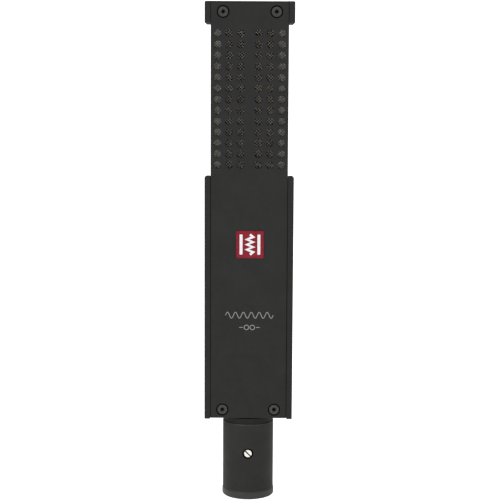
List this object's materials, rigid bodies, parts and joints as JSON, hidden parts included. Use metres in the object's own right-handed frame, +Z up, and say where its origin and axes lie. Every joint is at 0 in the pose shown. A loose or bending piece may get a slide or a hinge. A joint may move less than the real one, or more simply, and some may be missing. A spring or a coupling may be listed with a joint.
{
  "type": "ribbon microphone",
  "caption": "Slim rectangular ribbon microphone with perforated front and rear covers and a round connector barrel below.",
  "frame": {"origin": "centre of the connector barrel's mouth, at its lowest plane", "axes": "+Z up along the body towards the head, -Y out of the front cover, +X to the right seen from the front"},
  "size_m": [0.042, 0.025, 0.2384],
  "materials": {
    "body_paint": "fine matte dark grey powder coat",
    "rail_paint": "matte dark grey powder coat on machined bar",
    "screw_steel": "black oxide steel",
    "retainer_steel": "bright turned steel",
    "woven_mesh": "darkened woven wire cloth",
    "pin_silver": "silver plate on brass",
    "magnet": "black nickel plate",
    "soft_iron": "blackened soft iron",
    "ribbon_foil": "bare corrugated foil",
    "clamp_brass": "blackened brass",
    "black_plastic": "moulded glass-filled plastic",
    "pad_rubber": "soft black rubber",
    "lamination": "stacked nickel iron laminations",
    "coil": "taped copper winding",
    "board": "glass epoxy board",
    "badge_enamel": "red enamel",
    "lead_red": "insulated wire",
    "lead_white": "insulated wire",
    "lead_black": "insulated wire"
  },
  "bodies": {
    "housing": {"badge": "badge_enamel", "barrel": "body_paint", "bottom_block": "rail_paint", "clamp_bar_lower": "clamp_brass", "clamp_bar_upper": "clamp_brass", "clamp_base_lower": "black_plastic", "clamp_base_upper": "black_plastic", "clamp_screw_lower_left": "clamp_brass", "clamp_screw_lower_right": "clamp_brass", "clamp_screw_upper_left": "clamp_brass", "clamp_screw_upper_right": "clamp_brass", "connector_insert": "black_plastic", "cover_screw_front_lower_left": "screw_steel", "cover_screw_front_lower_right": "screw_steel", "cover_screw_front_upper_left": "screw_steel", "cover_screw_front_upper_right": "screw_steel", "cover_screw_rear_lower_left": "screw_steel", "cover_screw_rear_lower_right": "screw_steel", "cover_screw_rear_upper_left": "screw_steel", "cover_screw_rear_upper_right": "screw_steel", "frame_screw_lower_left": "screw_steel", "frame_screw_lower_right": "screw_steel", "frame_screw_upper_left": "screw_steel", "frame_screw_upper_right": "screw_steel", "front_cover": "body_paint", "front_mesh": "woven_mesh", "isolator_lower_left": "pad_rubber", "isolator_lower_right": "pad_rubber", "isolator_upper_left": "pad_rubber", "isolator_upper_right": "pad_rubber", "left_frame": "rail_paint", "magnet_left": "magnet", "magnet_right": "magnet", "neck": "body_paint", "output_lead_1": "lead_red", "output_lead_2": "lead_white", "output_lead_3": "lead_black", "pin_1": "pin_silver", "pin_2": "pin_silver", "pin_3": "pin_silver", "pole_left": "soft_iron", "pole_right": "soft_iron", "rear_cover": "body_paint", "rear_mesh": "woven_mesh", "ribbon_lead_lower": "lead_black", "ribbon_lead_upper": "lead_black", "ribbon_tab_lower": "ribbon_foil", "ribbon_tab_upper": "ribbon_foil", "right_frame": "rail_paint", "terminal_board": "board", "top_block": "rail_paint", "transformer_bracket": "soft_iron", "transformer_coil": "coil", "transformer_core": "lamination", "yoke": "soft_iron"},
    "moving_ribbon": {"ribbon": "ribbon_foil"},
    "turning_screw": {"retaining_screw": "retainer_steel"}
  },
  "joints": [
    {"name": "ribbon_vibration", "type": "slide", "parent": "housing", "child": "moving_ribbon", "axis": [0, 1, 0], "range_m": [-0.0004, 0.0004], "stiffness_N_per_m": 10},
    {"name": "retaining_screw_turn", "type": "hinge", "parent": "housing", "child": "turning_screw", "pos_m": [0, -0.009, 0.0229], "axis": [0, -1, 0], "range_deg": [-360, 0]}
  ]
}
